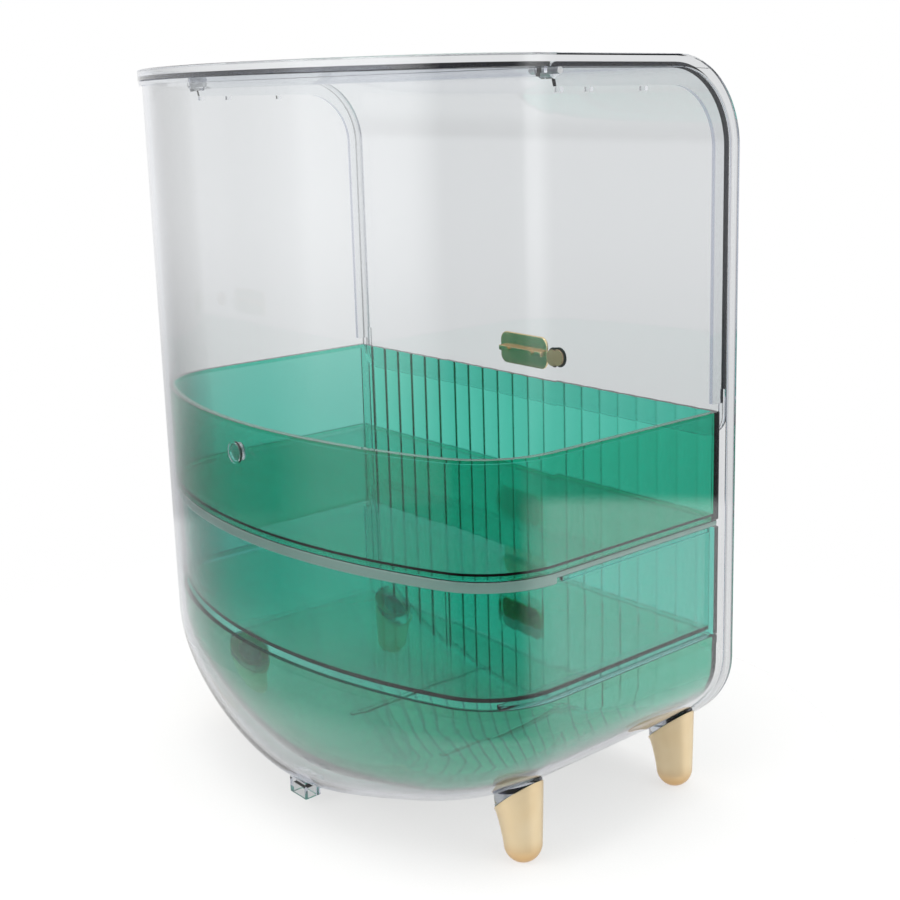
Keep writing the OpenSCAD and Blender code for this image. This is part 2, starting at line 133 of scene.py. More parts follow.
def cleanMesh(piece, tidyNormals=True):
    bm = bmesh.new()
    bm.from_mesh(piece.data)
    bmesh.ops.remove_doubles(bm, verts=bm.verts, dist=0.0015)
    bmesh.ops.dissolve_degenerate(bm, edges=bm.edges, dist=0.0005)
    loose = [v for v in bm.verts if not v.link_faces]
    bmesh.ops.delete(bm, geom=loose, context="VERTS")
    if tidyNormals:
        bmesh.ops.recalc_face_normals(bm, faces=bm.faces)
    bm.to_mesh(piece.data)
    bm.free()
    return piece


def solidFromRings(rings, name="solid"):
    count = len(rings[0])
    verts = [p for ring in rings for p in ring]
    faces = []
    for k in range(len(rings) - 1):
        for i in range(count):
            j = (i + 1) % count
            faces.append((k * count + i, k * count + j, (k + 1) * count + j, (k + 1) * count + i))
    faces.append(tuple(range(count)))
    faces.append(tuple(range(len(verts) - count, len(verts))))
    return cleanMesh(meshObject(name, verts, faces))


def slabSolid(outline, lowZ, highZ):
    return solidFromRings([[(x, y, z) for x, y in outline] for z in (lowZ, highZ)])


def boxSolid(low, high):
    (x0, y0, z0), (x1, y1, z1) = low, high
    return slabSolid([(x0, y0), (x1, y0), (x1, y1), (x0, y1)], z0, z1)


def rodSolid(start, end, radius, endRadius=None, steps=40):
    start, end = Vector(start), Vector(end)
    along = (end - start).normalized()
    side = along.cross(Vector((0.31, 0.47, 0.83))).normalized()
    other = along.cross(side)
    rings = []
    for centre, r in ((start, radius), (end, endRadius or radius)):
        rings.append([centre + r * (math.cos(a) * side + math.sin(a) * other)
                      for a in (2 * math.pi * i / steps for i in range(steps))])
    return solidFromRings(rings)


def applyModifiers(piece):
    graph = bpy.context.evaluated_depsgraph_get()
    mesh = bpy.data.meshes.new_from_object(piece.evaluated_get(graph), depsgraph=graph)
    piece.modifiers.clear()
    piece.data = mesh
    return piece


def combine(base, tools, operation):
    for tool in tools:
        cut = base.modifiers.new("cut", "BOOLEAN")
        cut.operation, cut.object, cut.solver = operation, tool, "EXACT"
        applyModifiers(base)
        bpy.data.objects.remove(tool)
    return base


def mirrored(makeTool):
    tools = [makeTool()]
    other = makeTool()
    other.data.transform(Matrix.Diagonal((-1, 1, 1, 1)))
    other.data.flip_normals()
    return tools + [other]


def finishPiece(piece, name, body, node, material, angle=None):
    cleanMesh(piece, tidyNormals=False)
    piece.data.transform(Matrix.Scale(0.001, 4) @ Matrix.Translation((0, -shellSize["middleY"], 0)))
    piece.data.shade_smooth()
    piece.data.set_sharp_from_angle(angle=math.radians(angle or smooth["sharpAngle"]))
    even = piece.modifiers.new("evenNormals", "WEIGHTED_NORMAL")
    even.keep_sharp = True
    applyModifiers(piece)
    piece.name = name
    piece.data.name = name
    piece.data.materials.clear()
    piece.data.materials.append(material)
    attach(piece, body)
    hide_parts(node)
    print("made", name, len(piece.data.polygons), "faces")
    return piece


# ---- camera

cameraView = dict(
    place=(-0.5678, 0.43003, 0.3535), azimuth=228.08, elevation=12.19, roll=-1.16,
    lens=56.008, shiftX=-0.0627, shiftY=-0.0557,
)


def makeCamera():
    azimuth, elevation = math.radians(cameraView["azimuth"]), math.radians(cameraView["elevation"])
    back = Vector((math.sin(azimuth) * math.cos(elevation),
                   -math.cos(azimuth) * math.cos(elevation), math.sin(elevation)))
    right = Vector((math.cos(azimuth), math.sin(azimuth), 0))
    turn = Matrix((right, back.cross(right), back)).transposed().to_4x4()
    camera = bpy.data.objects.new("camera", bpy.data.cameras.new("camera"))
    camera.data.lens = cameraView["lens"]
    camera.data.shift_x, camera.data.shift_y = cameraView["shiftX"], cameraView["shiftY"]
    camera.data.clip_start = 0.02
    camera.matrix_world = (Matrix.Translation(cameraView["place"]) @ turn
                           @ Matrix.Rotation(math.radians(cameraView["roll"]), 4, "Z"))
    scene.collection.objects.link(camera)
    scene.camera = camera


makeCamera()

# ---- studio: a white sweep, soft lamps, and a room that only reflections and bent rays see

studio = dict(
    roomAround=[  # azimuth as a share of a turn from the front, and how bright the room is there, high up
        (0.00, 0.30), (0.12, 0.35), (0.20, 0.45), (0.31, 0.45), (0.355, 0.38), (0.375, 0.42), (0.39, 0.50),
        (0.41, 0.66), (0.425, 0.95), (0.485, 0.95), (0.50, 0.85), (0.51, 0.60), (0.522, 0.13), (0.73, 0.13),
        (0.76, 0.18), (0.782, 0.70), (0.81, 0.75), (0.85, 0.35), (0.875, 0.22), (0.94, 0.22),
    ],
    roomBelow=[  # the same for what is low down
        (0.00, 0.12), (0.16, 0.36), (0.21, 0.27), (0.25, 0.14), (0.29, 0.08), (0.33, 0.05), (0.38, 0.04),
        (0.40, 0.12), (0.42, 0.20), (0.48, 0.20), (0.505, 0.12), (0.53, 0.02), (0.73, 0.02), (0.78, 0.10),
        (0.84, 0.05), (0.96, 0.05),
    ],
    roomTable=[  # and for the pale table below that
        (0.00, 0.20), (0.16, 0.42), (0.21, 0.36), (0.25, 0.22), (0.29, 0.13), (0.33, 0.08), (0.38, 0.07),
        (0.42, 0.16), (0.48, 0.12), (0.505, 0.06), (0.53, 0.02), (0.73, 0.02), (0.78, 0.30), (0.84, 0.45),
        (0.96, 0.45),
    ],
    fadeLow=-0.26, fadeHigh=-0.06, tableEdge=-0.275, tableBlur=0.012,
    underfoot=-0.62, underfootFade=0.3, underfootShade=0.40,
    overhead=0.55, overheadFade=0.25, overheadShade=0.5,
    roomStrength=2.2, deepShade=(0.60, 0.62, 0.70), deepShare=0.8,
    seenThrough=0.85, flagPeriod=45.0, flagHalf=4.5, flagSoft=3.5, flagShade=0.5,
    ceilingLow=0.34, ceilingHigh=0.6, ceilingShade=0.45, tableLow=-0.42, tableHigh=-0.22, tableSeen=0.8,
    floorRadius=0.44, floorClear=0.17, floorShare=0.34, floorColour="#F4F4F2", floorGrain="#EFEFED",
)


def makeWorld():
    world = bpy.data.worlds.new("studioRoom")
    scene.world = world
    world.use_nodes = True
    tree = world.node_tree
    tree.nodes.clear()
    s = studio
    known = {socket.name: socket for socket in addNode(tree, "ShaderNodeLightPath")}
    direction = addNode(tree, "ShaderNodeTexCoord")["Generated"]
    known.update({socket.name: socket for socket in addNode(tree, "ShaderNodeSeparateXYZ", {0: direction})})
    for name, operation, first, second in (
        ("forward", "MULTIPLY", "Y", -1.0),  # the azimuth, as a share of a turn
        ("angle", "ARCTAN2", "X", "forward"),
        ("turns", "MULTIPLY", "angle", 1 / (2 * math.pi)),
        ("share", "FRACT", "turns", 0.0),
        ("degrees", "MULTIPLY", "share", 360.0),  # and folded, for flags at even steps
        ("folded", "PINGPONG", "degrees", s["flagPeriod"] / 2),
        ("mirroredTwice", "GREATER_THAN", "Glossy Depth", 1.5),
        ("deep", "MULTIPLY", "mirroredTwice", s["deepShare"]),
        ("straight", "LESS_THAN", "Glossy Depth", 0.5),
        ("through", "MULTIPLY", "straight", "Is Transmission Ray"),
    ):
        known[name] = addNode(tree, "ShaderNodeMath", {"operation": operation, 0: known.get(first, first),
                                                       1: known.get(second, second)})[0]
    flagStart = s["flagPeriod"] / 2 - s["flagHalf"]

    fades = {}
    for name, source, start, end, low, high in (
        ("highUp", "Z", s["fadeLow"], s["fadeHigh"], 0.0, 1.0),
        ("onTable", "Z", s["tableEdge"] - s["tableBlur"], s["tableEdge"], 1.0, 0.0),
        ("underfoot", "Z", s["underfoot"], s["underfoot"] + s["underfootFade"], 1.0, 0.0),
        ("overhead", "Z", s["overhead"], s["overhead"] - s["overheadFade"], 1.0, 0.0),
        ("flags", "folded", flagStart - s["flagSoft"], flagStart + s["flagSoft"],
         s["seenThrough"], s["seenThrough"] * s["flagShade"]),
        ("ceiling", "Z", s["ceilingLow"], s["ceilingHigh"], 1.0, s["ceilingShade"]),
        ("table", "Z", s["tableLow"], s["tableHigh"], s["tableSeen"], 1.0),
    ):
        fades[name] = addNode(tree, "ShaderNodeMapRange",
                              {"interpolation_type": "SMOOTHSTEP", "Value": known[source], "From Min": start,
                               "From Max": end, "To Min": low, "To Max": high})["Result"]

    shades = {}
    for name in ("roomAround", "roomBelow", "roomTable"):
        ramp = addNode(tree, "ShaderNodeValToRGB", {"Fac": known["share"]})["Color"]
        elements = ramp.node.color_ramp.elements
        for place, level in s[name][1:-1]:
            elements.new(place)
        for element, (place, level) in zip(elements, s[name]):
            element.position, element.color = place, (level, level, level, 1)
        shades[name] = ramp
    room = shades["roomBelow"]
    for factor, over in ((fades["highUp"], shades["roomAround"]), (fades["onTable"], shades["roomTable"]),
                         (fades["underfoot"], (s["underfootShade"],) * 3 + (1,)),
                         (fades["overhead"], (s["overheadShade"],) * 3 + (1,))):
        room = addNode(tree, "ShaderNodeMix", {"data_type": "RGBA", "Factor": factor, 6: room, 7: over})[2]
    room = addNode(tree, "ShaderNodeVectorMath", {"operation": "SCALE", 0: room, "Scale": s["roomStrength"]})[0]

    # light that the plastic bends but never mirrors sees a plain pale studio with soft grey flags
    backdrop = fades["flags"]
    for shade in (fades["ceiling"], fades["table"]):
        backdrop = addNode(tree, "ShaderNodeMath", {"operation": "MULTIPLY", 0: backdrop, 1: shade})[0]
    level = room  # and what is mirrored twice comes out of thick edges, which look blue-grey
    for name, over in (("deep", (*s["deepShade"], 1)), ("through", backdrop), ("Is Camera Ray", (1, 1, 1, 1))):
        level = addNode(tree, "ShaderNodeMix",
                        {"data_type": "RGBA", "Factor": known[name], 6: level, 7: over})[2]
    light = addNode(tree, "ShaderNodeBackground", {"Color": level, "Strength": 1.0})[0]
    addNode(tree, "ShaderNodeOutputWorld", {"Surface": light})


def makeFloor():
    steps = 96
    around = [2 * math.pi * i / steps for i in range(steps)]
    verts = [(studio["floorRadius"] * math.cos(a), studio["floorRadius"] * math.sin(a), 0) for a in around]
    floor = meshObject("floor", verts, [tuple(range(steps))])
    paper = bpy.data.materials.new("matteSweepPaper")  # plain seamless paper, no gloss, fades into the white
    paper.use_nodes = True
    tree = paper.node_tree
    tree.nodes.clear()
    place = addNode(tree, "ShaderNodeTexCoord")["Object"]
    grain = addNode(tree, "ShaderNodeTexNoise", {"Scale": 900.0, "Detail": 2.0, "Vector": place})["Fac"]
    tone = addNode(tree, "ShaderNodeMix",
                   {"data_type": "RGBA", "Factor": grain, 6: toLinear(studio["floorGrain"]),
                    7: toLinear(studio["floorColour"])})[2]
    matte = addNode(tree, "ShaderNodeBsdfDiffuse", {"Color": tone})[0]
    away = addNode(tree, "ShaderNodeVectorMath", {"operation": "LENGTH", 0: place})["Value"]
    share = addNode(tree, "ShaderNodeMapRange",
                    {"interpolation_type": "SMOOTHSTEP", "Value": away, "From Min": studio["floorClear"],
                     "From Max": studio["floorRadius"] - 0.01, "To Min": studio["floorShare"],
                     "To Max": 0.0})["Result"]
    clear = addNode(tree, "ShaderNodeBsdfTransparent")[0]
    both = addNode(tree, "ShaderNodeMixShader", {"Fac": share, 1: clear, 2: matte})[0]
    addNode(tree, "ShaderNodeOutputMaterial", {"Surface": both})
    floor.data.materials.append(paper)


softLamps = [  # where each lamp stands and looks, its size in metres, its power, seen in reflections or not
    dict(name="overheadSoftbox", place=(-0.2, 0.3, 1.7), aim=(0, 0, 0.15), size=1.1, power=12.0, shines=True),
    dict(name="leftSoftbox", place=(0.35, 1.5, 0.75), aim=(0, 0, 0.2), size=0.8, power=7.0, shines=False),
    dict(name="rightSoftbox", place=(-1.5, -0.35, 0.6), aim=(0, 0, 0.2), size=0.6, power=4.0, shines=False),
]


def makeLamps():
    for lamp in softLamps:
        light = bpy.data.lights.new(lamp["name"], "AREA")
        light.size, light.energy = lamp["size"], lamp["power"]
        holder = bpy.data.objects.new(lamp["name"], light)
        holder.location = lamp["place"]
        aim = Vector(lamp["aim"]) - Vector(lamp["place"])
        holder.rotation_euler = aim.to_track_quat("-Z", "Y").to_euler()
        holder.visible_glossy, holder.visible_transmission = lamp["shines"], False
        scene.collection.objects.link(holder)


makeWorld()
makeFloor()
makeLamps()
scene.view_settings.view_transform = "Standard"
for kind in ("max_bounces", "transmission_bounces"):
    setattr(scene.cycles, kind, 28)
scene.cycles.glossy_bounces = 12
print("studio ready")

# ---- materials

def surfaceNoise(tree, millimetres, detail=2.0, stretch=(1, 1, 1)):
    place = addNode(tree, "ShaderNodeTexCoord")["Object"]
    mapped = addNode(tree, "ShaderNodeMapping", {"Scale": stretch, "Vector": place})[0]
    return addNode(tree, "ShaderNodeTexNoise",
                   {"Scale": 1000.0 / millimetres, "Detail": detail, "Vector": mapped})["Fac"]


def newMaterial(name):
    material = bpy.data.materials.new(name)
    material.use_nodes = True
    material.node_tree.nodes.clear()
    return material, material.node_tree


def absorbInside(tree, shader, look):
    depth = addNode(tree, "ShaderNodeVolumeAbsorption",
                    {"Color": toLinear(look["depthColour"]), "Density": look["depthDensity"]})[0]
    addNode(tree, "ShaderNodeOutputMaterial", {"Surface": shader, "Volume": depth})


def mouldedClear(name, look):
    material, tree = newMaterial(name)
    polish = addNode(tree, "ShaderNodeMapRange",
                     {"From Min": 0.3, "From Max": 0.7, "To Min": look["roughness"] * 0.5,
                      "To Max": look["roughness"] * 1.6,
                      "Value": surfaceNoise(tree, look["scuffMm"])})["Result"]
    waves = surfaceNoise(tree, look["flowSizeMm"], 1.0, look["flowStretch"])
    flow = addNode(tree, "ShaderNodeBump", {"Strength": look["flowStrength"], "Distance": look["flowMm"] / 1000,
                                            "Height": waves})[0]
    shader = addNode(tree, "ShaderNodeBsdfPrincipled",
                     {"Base Color": toLinear(look["colour"]), "Metallic": 0.0, "IOR": look["ior"],
                      "Transmission Weight": 1.0, "Roughness": polish, "Normal": flow})[0]
    absorbInside(tree, shader, look)
    return material


clearLook = dict(
    colour="#FBFCFC", ior=1.52, roughness=0.012, scuffMm=30, flowStrength=0.25, flowMm=0.05, flowSizeMm=55,
    flowStretch=(1, 1, 0.35), depthColour="#BEC4D2", depthDensity=36.0,
)
emeraldLook = dict(
    colour="#F7FAF9", ior=1.52, roughness=0.02, scuffMm=25, flowStrength=0.25, flowMm=0.05, flowSizeMm=45,
    flowStretch=(1, 1, 0.5), depthColour="#4DEFE1", depthDensity=740.0,
)
# polystyrene: a glassy wall, with a slight blue-grey that only thick edges show
clearPolystyrene = mouldedClear("clearPolystyreneMoulded", clearLook)
lidPolystyrene = mouldedClear("clearPolystyreneLid", dict(clearLook, flowSizeMm=60, flowStretch=(1, 1, 0.5)))
# emerald dye in the plastic: pale in one wall, deep in two and at edges
greenPolystyrene = mouldedClear("emeraldPolystyreneMoulded", emeraldLook)
# the middle drawer has less dye, so the eye sees through two of its walls
paleGreenPolystyrene = mouldedClear("paleEmeraldPolystyreneMoulded",
                                    dict(emeraldLook, depthColour="#4DEEE4", depthDensity=600.0))


def platedGold(name, look, plated=1.0):
    material, tree = newMaterial(name)
    tone = addNode(tree, "ShaderNodeMix",
                   {"data_type": "RGBA", "Factor": surfaceNoise(tree, look["cloudMm"]),
                    6: toLinear(look["colour"]), 7: toLinear(look["deepColour"])})[2]
    polish = addNode(tree, "ShaderNodeMapRange",
                     {"To Min": look["roughness"] * 0.7, "To Max": look["roughness"] * 1.3,
                      "Value": surfaceNoise(tree, look["scuffMm"], 3.0)})["Result"]
    ripple = addNode(tree, "ShaderNodeBump", {"Strength": 0.2, "Distance": 0.00005,
                                              "Height": surfaceNoise(tree, look["rippleMm"])})[0]
    # painted shade: the colour darkens towards the tip, standing in for the floor's shade reflected in it
    if "paintedTipShade" in look:
        place = addNode(tree, "ShaderNodeTexCoord")["Object"]
        height = addNode(tree, "ShaderNodeSeparateXYZ", {0: place})["Z"]
        abovePaintedTipShade = addNode(tree, "ShaderNodeMapRange",
                           {"interpolation_type": "SMOOTHSTEP", "Value": height, "From Min": look["tipLow"],
                            "From Max": look["tipHigh"], "To Min": 0.0, "To Max": 1.0})["Result"]
        tone = addNode(tree, "ShaderNodeMix", {"data_type": "RGBA", "Factor": abovePaintedTipShade,
                                               6: toLinear(look["paintedTipShade"]), 7: tone})[2]
    shader = addNode(tree, "ShaderNodeBsdfPrincipled",
                     {"Metallic": plated, "Base Color": tone, "Roughness": polish, "Normal": ripple})[0]
    addNode(tree, "ShaderNodeOutputMaterial", {"Surface": shader})
    return material


legGold = platedGold(  # vacuum-plated plastic under satin lacquer: soft, wide reflections; the tip is painted darker, a painted shade near the floor
    "satinGoldPlatedPlastic",
    dict(colour="#F8E6C4", deepColour="#EED4A6", roughness=0.36, cloudMm=18, scuffMm=6, rippleMm=5,
         paintedTipShade="#DDB47C", tipLow=0.001, tipHigh=0.014), 0.85,
)
pullGold = platedGold(  # polished brass plating: sharp reflections
    "polishedBrassPlating",
    dict(colour="#F4DDAF", deepColour="#E8C890", roughness=0.16, cloudMm=12, scuffMm=4, rippleMm=4),
)
studGold = platedGold(  # the same plating, brushed: it glows more and mirrors less
    "brushedBrassPlating",
    dict(colour="#F6DDB4", deepColour="#E6C08C", roughness=0.4, cloudMm=6, scuffMm=2, rippleMm=3), 0.4,
)


def pinSteelMaterial():
    material, tree = newMaterial("drawnSteelWire")  # drawn wire, faint lines along its length
    lines = surfaceNoise(tree, 1.0, 2.0, (0.05, 1, 1))
    polish = addNode(tree, "ShaderNodeMapRange", {"To Min": 0.38, "To Max": 0.55, "Value": lines})["Result"]
    shader = addNode(tree, "ShaderNodeBsdfPrincipled",
                     {"Base Color": toLinear("#E4E6E8"), "Metallic": 0.8, "Roughness": polish})[0]
    addNode(tree, "ShaderNodeOutputMaterial", {"Surface": shader})
    return material


def hazyPlastic(name, look):
    material, tree = newMaterial(name)
    haze = addNode(tree, "ShaderNodeMapRange", {"To Min": look["sharpest"], "To Max": look["haziest"],
                                                "Value": surfaceNoise(tree, look["hazeMm"])})["Result"]
    shader = addNode(tree, "ShaderNodeBsdfPrincipled",
                     {"Base Color": toLinear(look["colour"]), "IOR": look["ior"], "Roughness": haze,
                      "Transmission Weight": look["clarity"], "Coat Weight": look["coat"],
                      "Coat Roughness": 0.05})[0]
    absorbInside(tree, shader, look)
    return material


softDot = hazyPlastic(  # clear soft silicone, a little hazy
    "clearSiliconeDot",
    dict(colour="#F1F4F4", ior=1.41, sharpest=0.05, haziest=0.16, hazeMm=2.0, clarity=1.0, coat=0.0,
         depthColour="#B8BFC4", depthDensity=60.0),
)
paleSheenEdge = hazyPlastic(  # the shelf's rim: mostly matte and pale, a painted sheen standing in for the bright band its clear rounded edge shows
    "paintedSheenPolystyreneEdge",
    dict(colour="#C4F6E6", ior=1.52, sharpest=0.16, haziest=0.22, hazeMm=30.0, clarity=0.12, coat=1.0,
         depthColour="#BEC4D2", depthDensity=36.0),
)
pinSteel = pinSteelMaterial()
for node, material in (("left_hinge_pin", pinSteel), ("right_hinge_pin", pinSteel), ("rear_bumper", softDot),
                       ("lid_stud", studGold), ("lid_stud_washer", studGold)):
    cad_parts[node].material_slots[0].material = material
print("materials ready")

# ---- clear shell

shellExtras = dict(
    socketRadius=11.8, socketHeight=3.0, jointSlant=41.0, tipRadius=9.3, spigotRadius=6.5, legX=121.0,
    legFrontY=4.0, legSpan=108.0, heelHalf=7.0, heelDepth=9.0, heelBehind=35.0, heelLow=4.0, heelTop=38.0,
    heelRecess=2.0, bossRadius=3.2, boreRadius=1.55, boreDepth=3.2, hingeY=108.0, hingeZ=364.0,
    ledgeDepth=2.0, ledgeFrontY=8.4, deckLedgeY=113.3, deckLedgeLow=363.0, deckLedgeTop=365.0,
    ledgeBackY=108.0, nubBack=(2.5, 20.0, 54.0), nubZ=355.2, nubDepth=3.0, nubHalf=1.0, shelfZ=146.0,
    padRadius=5.5, padHeight=1.2, padZ=191.0, ribX=38.0, ribWidth=3.0, ribGap=1.4, ribFrontY=-6.0,
    ribBackY=95.0, bowlGap=2.0, bowlLift=3.0, jointBlock=30.0, socketReach=60.0, spigotLow=3.0,
)
legAxisX = shellExtras["legX"] - shellExtras["socketRadius"] + shellExtras["tipRadius"]
legTop = (underside(legAxisX, shellSize["halfWidth"], shellSize["baseZ"], shellSize["roundHeight"])
          - shellExtras["socketHeight"])
legLean = math.atan2(shellExtras["socketRadius"] - shellExtras["tipRadius"], legTop - shellExtras["tipRadius"])
legSlant = math.radians(shellExtras["jointSlant"])


def rimFrontY(z, inset):
    s = shellSize
    radius, cy, cz = s["frontRadius"] - inset, s["rimY"] + s["frontRadius"], s["topZ"] - s["frontRadius"]
    if z <= cz:
        return cy - radius
    return cy - math.sqrt(max(0.0, radius * radius - (z - cz) ** 2))


def shellRows():
    s = shellSize
    cz = s["topZ"] - s["frontRadius"]
    bandRadius = s["frontRadius"] - s["lipHeight"]
    step = math.asin(bandRadius / s["frontRadius"])
    rows = []  # height, angle down the round, and whether the whole row lies in the lip band
    for i in range(5):
        t = math.pi / 2 + (step - math.pi / 2) * i / 4
        rows.append((cz + s["frontRadius"] * math.sin(t), 0.0, True))
    for i in range(15):
        z = cz + bandRadius * math.sin(math.pi / 2 * (1 - i / 14))
        rows.append((z - (0.35 if i == 0 else 0.0), 0.0, False))
    for i in range(1, 13):
        rows.append((cz + (s["springZ"] - cz) * i / 12, 0.0, False))
    return rows + [(None, phi, False) for phi in levelAngles[1:]]


def shellSheet(inside):
    s = shellSize
    half = s["halfWidth"] - (s["wall"] if inside else 0.0)
    grow = 0.0 if inside else s["lipOut"]
    low = s["baseZ"] + (s["wall"] if inside else 0.0)
    rise = s["roundHeight"] - (s["wall"] if inside else 0.0)
    cy = s["rimY"] + s["frontRadius"]
    grid = []
    for z, phi, banded in shellRows():
        height = z if z is not None else levelZ(low, rise, phi)
        lipHeight = z if z is not None else levelZ(low - grow, rise + grow, phi)
        edgeY = rimFrontY(height, 0.0) if z is not None else s["rimY"]
        bandY = cy if banded else rimFrontY(min(height, s["topZ"] - s["lipHeight"]), s["lipHeight"])
        wallHalf = half + (grow if banded else 0.0)
        lipX = levelHalf(half + grow, phi)
        outline = podOutline(wallHalf, s["bowRise"], bandY + 0.35, phi)
        right = outline[:len(outline) // 2 + 1]
        row = [(lipX, edgeY, lipHeight), (lipX, bandY, lipHeight)]
        row += [(x, y, height) for x, y in right]
        grid.append(row + [(-x, y, h) for x, y, h in reversed(row[:-1])])
    return grid


def makeShellWall():
    s = shellSize
    outer, inner = shellSheet(False), shellSheet(True)
    rowCount, columnCount = len(outer), len(outer[0])
    half = columnCount // 2
    cy, cz = s["rimY"] + s["frontRadius"], s["topZ"] - s["frontRadius"]

    def inward(point):
        x, y, z = point
        if z > cz and y < cy:
            return Vector((0, cy - y, cz - z)).normalized()
        return Vector((0, 0, -1)) if y >= cy and z > cz else Vector((0, 1, 0))

    border = [(r, 0) for r in range(rowCount - 1, -1, -1)] + [(0, c) for c in range(1, columnCount)]
    border += [(r, columnCount - 1) for r in range(1, rowCount)]
    soft = s["lipSoftness"]
    quarter = [math.pi / 2 * i / 4 for i in range(5)]
    loops = []
    for r, c in border:
        a, b = Vector(outer[r][c]), Vector(inner[r][c])
        across, away = (b - a).normalized(), inward(outer[r][c])
        section = [a + soft * ((1 - math.cos(t)) * across + (1 - math.sin(t)) * away) for t in quarter]
        section += [b + soft * ((math.cos(t) - 1) * across + (1 - math.sin(t)) * away) for t in quarter[::-1]]
        loops.append(section)
        outer[r][c], inner[r][c] = section[0], section[-1]
    verts = [point for grid in (outer, inner) for row in grid for point in row]
    faces = []
    size = rowCount * columnCount

    def at(sheet, r, c):
        return sheet * size + r * columnCount + c

    for sheet in (0, 1):
        for r in range(rowCount - 1):
            for c in range(columnCount - 1):
                quad = (at(sheet, r, c), at(sheet, r, c + 1), at(sheet, r + 1, c + 1), at(sheet, r + 1, c))
                faces.append(quad if sheet else quad[::-1])
        for c in range(half):
            r = rowCount - 1
            quad = (at(sheet, r, c), at(sheet, r, c + 1),
                    at(sheet, r, columnCount - 2 - c), at(sheet, r, columnCount - 1 - c))
            faces.append(quad if sheet else quad[::-1])
    start, width = len(verts), len(loops[0])
    verts += [point for section in loops for point in section]
    for k in range(len(loops)):
        nextLoop = (k + 1) % len(loops)
        for i in range(width - 1):
            faces.append((start + k * width + i, start + nextLoop * width + i,
                          start + nextLoop * width + i + 1, start + k * width + i + 1))
    return cleanMesh(meshObject("shellWall", verts, faces))


def podSolid(half, rise, lowZ, roundHeight, highZ, frontY):
    rings = [[(x, y, highZ) for x, y in podOutline(half, rise, frontY, 0.0, 1)]]
    for phi in levelAngles:
        z = levelZ(lowZ, roundHeight, phi)
        rings.append([(x, y, z) for x, y in podOutline(half, rise, frontY, phi, 1)])
    return solidFromRings(rings)


def midWallPod():
    s = shellSize
    return podSolid(s["halfWidth"] - 1, s["bowRise"], s["baseZ"] + 1, s["roundHeight"] - 1,
                    s["topZ"] + 20, s["rimY"] - 20)


def aboveJoint():
    reach = shellExtras["jointBlock"]
    block = boxSolid((-reach, -reach, 0), (reach, reach, 2 * reach))
    block.data.transform(Matrix.Translation((legAxisX, 0, legTop)) @ Matrix.Rotation(-legSlant, 4, "Y"))
    return block


def legAxisPoint(along):
    return (shellExtras["legX"] - along * math.sin(legLean), 0.0,
            shellExtras["tipRadius"] + along * math.cos(legLean))


def socketAndSpigot():
    e = shellExtras
    socket = rodSolid(legAxisPoint(0), legAxisPoint(e["socketReach"]), e["socketRadius"], steps=72)
    combine(socket, [aboveJoint()], "INTERSECT")
    spigot = rodSolid(legAxisPoint(e["spigotLow"]), legAxisPoint(legTop + 1), e["spigotRadius"], steps=48)
    combine(socket, [spigot], "UNION")
    return socket


def joinAll(parts):
    bm = bmesh.new()
    for part in parts:
        bm.from_mesh(part.data)
        bpy.data.objects.remove(part)
    mesh = bpy.data.meshes.new("joined")
    bm.to_mesh(mesh)
    bm.free()
    joined = bpy.data.objects.new("joined", mesh)
    scene.collection.objects.link(joined)
    return joined


